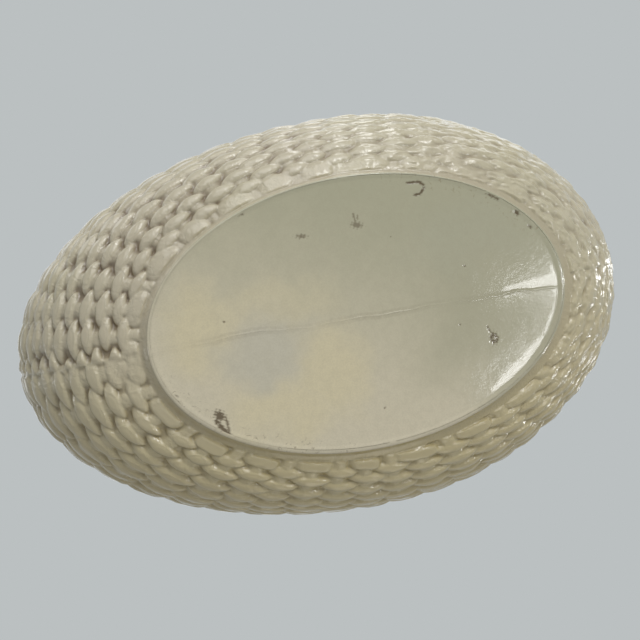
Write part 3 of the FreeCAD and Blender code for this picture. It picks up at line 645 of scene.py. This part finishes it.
# Each kind of feather: how long and how wide it is, and how deep its edges are pressed in.
COVERT_SIZES, COVERT_DEPTH = (13 * MM, 17 * MM), 1.5 * MM
DOWN_SIZES, DOWN_DEPTH = (11 * MM, 14 * MM), 0.7 * MM
NECK_DOWN_SIZES, NECK_DOWN_DEPTH = (7 * MM, 9 * MM), 0.45 * MM
QUILL_WIDTH, QUILL_DEPTH = 8 * MM, 1.3 * MM
VANE_WIDTH, VANE_DEPTH = 10 * MM, 1.3 * MM
WING_HALF_CHORD = 40 * MM
EYE_STAND = 1.0 * MM
EYE_RING_DEPTH = 1.1 * MM
MOUTH_HALF_WIDTH, MOUTH_DEPTH = 1.0 * MM, 1.1 * MM
BEAK_EDGE_HALF_WIDTH, BEAK_EDGE_DEPTH = 1.1 * MM, 0.5 * MM


def feathers(along, across, length, width):
    """Overlapping rounded feathers as a height of 0 to 1, in rows of so long and so wide."""
    result = np.zeros_like(along)
    for parity in (0, 1):
        side = 2 * ((across / width + parity / 2) % 1) - 1
        place = (along / length - parity) / 2 + 0.24 * side**2
        ramp = place % 1
        drop = np.clip((1 - ramp) / 0.07, 0, 1)
        shaft = 0.18 * np.exp(-(side / 0.1) ** 2)
        result = np.maximum(result, (ramp + shaft * ramp) * drop * (1 - 0.35 * side**2))
    return result


def goose_relief(points, normals):
    """How far each point of the goose sinks or stands: feathers, wing edges, eyes and beak."""
    x, y, z = points.T
    side = np.abs(y)
    axis = np.array(WING_TIP - SHOULDER)
    reach = np.linalg.norm(axis)
    mirrored = np.stack([x, side, z], axis=1) - np.array(SHOULDER)
    along = mirrored @ (axis / reach)
    foot = np.array(SHOULDER) + along[:, None] * axis / reach
    across = (z - foot[:, 2]) * 0.8 + (side - foot[:, 1]) * -0.6
    share = along / reach
    outward = smooth_step(np.abs(normals[:, 1]) + np.clip(normals[:, 2], 0, 1) * 0.5, 0.25, 0.5)
    half_chord = WING_HALF_CHORD * np.sin(np.clip(share * 0.8 + 0.2, 0, 1) * math.pi) ** 0.5
    on_wing = smooth_step(half_chord - np.abs(across), 0, 5 * MM) * smooth_step(share, 0.0, 0.05)
    on_wing = on_wing * (1 - smooth_step(share, 0.97, 1.02)) * outward * smooth_step(z, 112 * MM, 118 * MM)
    coverts = feathers(along, across, *COVERT_SIZES)
    lines = (across + along * 0.10) / QUILL_WIDTH
    quills = (1 - np.abs(2 * (lines % 1) - 1)) ** 0.5
    rear = smooth_step(share, 0.50, 0.56)
    wing = (coverts - 1) * COVERT_DEPTH * (1 - rear) + (quills - 1) * QUILL_DEPTH * rear

    down = feathers(-x, np.arctan2(y, z - PLATE_TOP) * 60 * MM, *DOWN_SIZES)
    body = (down - 1) * DOWN_DEPTH * smooth_step(z, PLATE_TOP + 4 * MM, PLATE_TOP + 12 * MM)
    neck_angle = np.arctan2(y, x - 95 * MM)
    neck_down = feathers(NECK_FOOT - z, neck_angle * 18 * MM, *NECK_DOWN_SIZES)
    on_neck = smooth_step(z, NECK_FOOT - 8 * MM, NECK_FOOT + 14 * MM) * smooth_step(x, 40 * MM, 56 * MM)
    neck = (neck_down - 1) * NECK_DOWN_DEPTH * (1 - smooth_step(z, 236 * MM, 252 * MM))
    on_tail = 1 - smooth_step(x, TAIL_START - 8 * MM, TAIL_START + 8 * MM)
    fan = y / (VANE_WIDTH + 0.02 * (x - TAIL_START))
    vanes = (1 - np.abs(2 * (fan % 1) - 1)) ** 0.5
    tail = (vanes - 1) * VANE_DEPTH

    result = body * (1 - on_wing) + wing * on_wing
    result = result * (1 - on_neck) + neck * on_neck
    off_wing = 1 - on_wing
    result = result * (1 - on_tail * off_wing) + tail * on_tail * off_wing

    mirrored_eye = np.stack([x - EYE.x, side - EYE.y, z - EYE.z], axis=1)
    from_eye = np.linalg.norm(mirrored_eye, axis=1) / EYE_RADIUS
    result += EYE_STAND * np.sqrt(np.clip(1 - from_eye**2, 0, 1))
    result -= EYE_RING_DEPTH * np.exp(-((from_eye - 1.3) / 0.36) ** 2)
    (line_x, line_z), (end_x, end_z) = BEAK_LINE
    mouth = (line_z + (x / MM - line_x) * (end_z - line_z) / (end_x - line_x)) * MM
    on_head = smooth_step(z, 236 * MM, 242 * MM)
    on_beak = smooth_step(x, BEAK_START - 1 * MM, BEAK_START + 1 * MM) * on_head
    result -= MOUTH_DEPTH * np.exp(-((z - mouth) / MOUTH_HALF_WIDTH) ** 2) * on_beak
    result -= BEAK_EDGE_DEPTH * np.exp(-((x - BEAK_START) / BEAK_EDGE_HALF_WIDTH) ** 2) * on_head
    return result


def make_goose():
    """A finer copy of the lid's solid, with its feathers, eyes and beak pressed in."""
    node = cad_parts["goose_lid"]
    goose = bpy.data.objects.new("feathered_goose", node.data.copy())
    bpy.context.scene.collection.objects.link(goose)
    goose.matrix_world = node.matrix_world.copy()
    remesh = goose.modifiers.new("remesh", "REMESH")
    remesh.mode = "VOXEL"
    remesh.voxel_size = REMESH_SIZE
    smooth = goose.modifiers.new("smooth", "SMOOTH")
    smooth.factor = 0.5
    smooth.iterations = 3
    depsgraph = bpy.context.evaluated_depsgraph_get()
    mesh = bpy.data.meshes.new_from_object(goose.evaluated_get(depsgraph))
    goose.modifiers.clear()
    goose.data = mesh
    count = len(mesh.vertices)
    points = np.empty(count * 3, dtype=np.float32)
    mesh.vertices.foreach_get("co", points)
    normals = np.empty(count * 3, dtype=np.float32)
    mesh.vertices.foreach_get("normal", normals)
    points = points.reshape(-1, 3).astype(float)
    normals = normals.reshape(-1, 3).astype(float)
    inside = hollow_share(points, normals)
    relief = goose_relief(points, normals) * (1 - inside)
    points = points + normals * relief[:, None]
    mesh.vertices.foreach_set("co", points.astype(np.float32).reshape(-1))
    mesh.update()
    mesh.shade_smooth()
    attribute = mesh.attributes.new("sunken", "FLOAT", "POINT")
    sunken = np.clip(-relief / (1.3 * MM), 0, 1).astype(np.float32)
    attribute.data.foreach_set("value", sunken)
    mesh.materials.clear()
    mesh.materials.append(glaze_material("lid_glaze"))
    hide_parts("goose_lid")
    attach(goose, "lid")


def hollow_share(points, normals):
    """1 where the lid is left plain: its plate and flange, and the hollow, whose skin faces inwards."""
    x, y, z = points.T
    plain = 1 - smooth_step(z, PLATE_TOP + 1 * MM, PLATE_TOP + 4 * MM)
    from_middle = np.stack([x - 10 * MM, y, (z - 120 * MM) * 1.5], axis=1)
    facing_in = np.einsum("ij,ij->i", from_middle, normals) < 0
    in_back = facing_in & (np.abs(y) < 90 * MM) & (np.abs(x) < 150 * MM) & (z < 150 * MM)
    neck_facing_in = (x - 97 * MM) * normals[:, 0] + y * normals[:, 1] < 0
    in_neck = neck_facing_in & (np.abs(y) < 30 * MM) & (x > 55 * MM) & (z > 130 * MM) & (z < 240 * MM)
    return np.where(in_back | in_neck, 1, plain)


# The camera of the photograph: focal length in its pixels, where the part's origin is from the
# camera in metres, and the turns that take the part's axes to the camera's.
IMAGE_SIZE = 640
FOCAL_PIXELS = 750
SENSOR = 36
ORIGIN_FROM_CAMERA = Vector((0.024023, -0.004101, 0.356928))
YAW, PITCH, ROLL = -0.2331377, -0.0259791, 0.1826938


def make_camera():
    """The photograph looks up at the foot, with the bowl on its side, so the camera is below the part."""
    cos_yaw, cos_pitch, cos_roll = [math.cos(angle) for angle in (YAW, PITCH, ROLL)]
    sin_yaw, sin_pitch, sin_roll = [math.sin(angle) for angle in (YAW, PITCH, ROLL)]
    turn_yaw = Matrix(((cos_yaw, 0, sin_yaw), (0, 1, 0), (-sin_yaw, 0, cos_yaw)))
    turn_pitch = Matrix(((1, 0, 0), (0, cos_pitch, sin_pitch), (0, -sin_pitch, cos_pitch)))
    turn_roll = Matrix(((cos_roll, sin_roll, 0), (-sin_roll, cos_roll, 0), (0, 0, 1)))
    turn = turn_roll @ turn_pitch @ turn_yaw
    right, down, away = turn
    place = -(turn.transposed() @ ORIGIN_FROM_CAMERA)
    data = bpy.data.cameras.new("photo_camera")
    data.sensor_width = SENSOR
    data.lens = SENSOR * FOCAL_PIXELS / IMAGE_SIZE
    camera = bpy.data.objects.new("photo_camera", data)
    axes = Matrix((right, -down, -away)).transposed().to_4x4()
    camera.matrix_world = Matrix.Translation(place) @ axes
    bpy.context.scene.collection.objects.link(camera)
    bpy.context.scene.camera = camera


# The soft lamps: the way to each from the middle of the bowl, how far off it is, its two sizes, its
# power in watts and its tint.
BOWL_MIDDLE = Vector((0, 0, 80 * MM))
WHITE = (1.0, 1.0, 1.0)
WARM = (1.0, 0.92, 0.74)
LAMPS = (("key", (0.14, -0.72, -0.68), 1.4, (1.3, 1.3), 9.2, WHITE),
         ("window", (0.33, -0.62, -0.71), 1.4, (0.2, 0.34), 1.9, WHITE),
         ("warm_side", (0.1, 0.9, -0.35), 1.4, (0.8, 0.4), 1.2, WARM),
         ("right_window", (0.62, 0.02, -0.79), 1.5, (0.05, 0.18), 1.0, WHITE),
         ("side_window", (0.96, 0.05, 0.15), 1.5, (0.10, 0.2), 1.3, WHITE),
         ("low_side_window", (0.85, 0.48, 0.12), 1.5, (0.08, 0.16), 0.8, WHITE),
         ("top", (0.3, -0.9, 0.2), 1.5, (0.35, 0.5), 1.9, WHITE),
         ("upper_right", (0.66, -0.62, 0.38), 1.5, (0.55, 0.55), 0.9, WHITE),
         ("upper_left", (-0.6, -0.75, 0.25), 1.5, (0.5, 0.6), 1.2, WHITE),
         ("left", (-0.97, 0.0, 0.22), 1.5, (0.12, 0.25), 0.4, WHITE),
         ("above", (0.1, -0.2, 1.0), 1.6, (2.6, 2.6), 11, WHITE))

# Bars of daylight that the glazed foot mirrors, in a plane below the camera: where the middle of each
# is, how long and how thick it is, and its turn in degrees. Their power is in watts to a square metre.
BAR_PLANE = -1.3
WINDOW_BARS = (((0.815, 0.046), (0.150, 0.025), -5), ((0.884, 0.048), (0.085, 0.024), 93),
               ((0.862, 0.130), (0.104, 0.024), 123), ((0.752, 0.236), (0.190, 0.038), 147))
BAR_POWER = 42
SURROUND_SHADE = (187, 192, 193)
SURROUND_LIGHT = (0.26, 0.26, 0.26, 1)


def make_lamp(name, size, power, tint=WHITE):
    """A rectangular lamp, which is still to be placed."""
    data = bpy.data.lights.new(name, "AREA")
    data.shape = "RECTANGLE"
    data.size, data.size_y = size
    data.energy = power
    data.color = tint
    lamp = bpy.data.objects.new(name, data)
    bpy.context.scene.collection.objects.link(lamp)
    return lamp


def make_lamps():
    """The soft lamps, which look at the middle of the bowl, and the bars, which look straight up."""
    for name, direction, distance, size, power, tint in LAMPS:
        lamp = make_lamp(name, size, power, tint)
        away = Vector(direction).normalized()
        lamp.location = BOWL_MIDDLE + away * distance
        lamp.rotation_mode = "QUATERNION"
        lamp.rotation_quaternion = away.to_track_quat("Z", "Y")
    for number, ((x, y), size, turn) in enumerate(WINDOW_BARS):
        bar = make_lamp(f"window_bar_{number}", size, BAR_POWER * size[0] * size[1])
        bar.location = (x, y, BAR_PLANE)
        bar.rotation_euler = (math.pi, 0, math.radians(turn))


def make_floor():
    """A pale floor that only shows and shades from above."""
    bpy.ops.mesh.primitive_plane_add(size=30, location=(0, 0, 0))
    floor = bpy.context.object
    floor.name = "floor"
    material = bpy.data.materials.new("floor")
    nodes = Nodes(material)
    pale = nodes.surface({"Base Color": colour(206, 208, 206), "Roughness": 0.8, "Specular IOR Level": 0,
                          "Emission Color": colour(*SURROUND_SHADE), "Emission Strength": 0.45})
    clear = nodes.add("ShaderNodeBsdfTransparent").outputs[0]
    seen = nodes.add("ShaderNodeLightPath").outputs["Is Camera Ray"]
    below = nodes.add("ShaderNodeNewGeometry").outputs["Backfacing"]
    hidden = nodes.math("MAXIMUM", below, nodes.math("SUBTRACT", 1.0, seen))
    both = nodes.add("ShaderNodeMixShader", i0=hidden, i1=pale, i2=clear).outputs[0]
    nodes.set(nodes.tree.nodes["Material Output"].inputs["Surface"], both)
    floor.data.materials.append(material)


def make_surround():
    """A surround that is pale where it is seen or mirrored, and gives less light than it shows."""
    world = bpy.data.worlds.new("surround")
    bpy.context.scene.world = world
    nodes = Nodes(world)
    rays = nodes.add("ShaderNodeLightPath").outputs
    seen = nodes.math("MAXIMUM", rays["Is Camera Ray"], rays["Is Glossy Ray"])
    seen = nodes.math("MAXIMUM", seen, rays["Is Transmission Ray"])
    shown = nodes.mix(seen, SURROUND_LIGHT, colour(*SURROUND_SHADE))
    nodes.set(nodes.tree.nodes["Background"].inputs["Color"], shown)


make_bowl()
make_goose()
make_camera()
make_floor()
make_surround()
make_lamps()
bpy.context.scene.view_settings.view_transform = "Standard"
